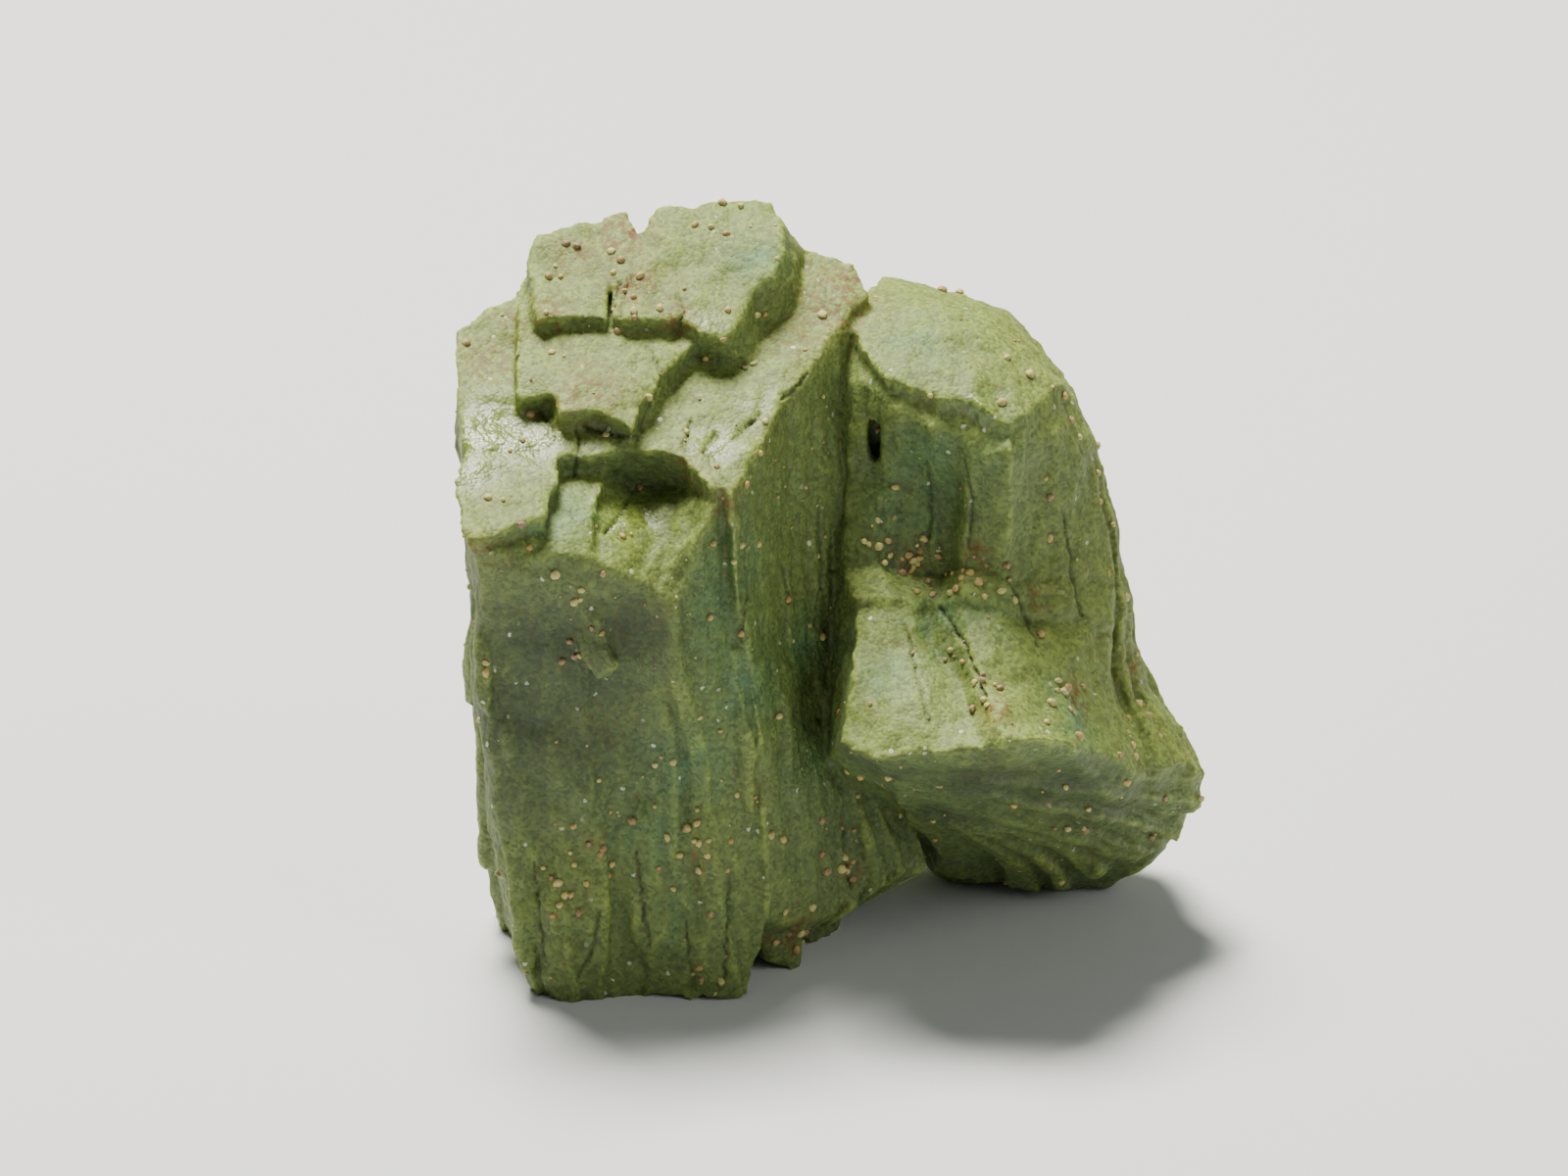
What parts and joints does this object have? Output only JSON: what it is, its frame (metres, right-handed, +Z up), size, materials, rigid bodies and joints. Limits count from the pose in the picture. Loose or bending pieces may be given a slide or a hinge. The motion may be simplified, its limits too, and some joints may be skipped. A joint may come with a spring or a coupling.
{
  "type": "rough heulandite specimen",
  "caption": "Free-standing rough heulandite: two flaring sheaves of platy crystals grown together, with stepped top plates and a flat foot.",
  "frame": {"origin": "on the floor, under the middle of the bounding box", "axes": "+Z up, +X to the right and -Y towards the viewer who faces the concave front"},
  "size_m": [0.0496, 0.0296, 0.0486],
  "materials": {
    "stone": "sugary pale to blue-green stone with waxy edges"
  },
  "bodies": {
    "root": {"heulandite_cluster": "stone"}
  },
  "joints": []
}
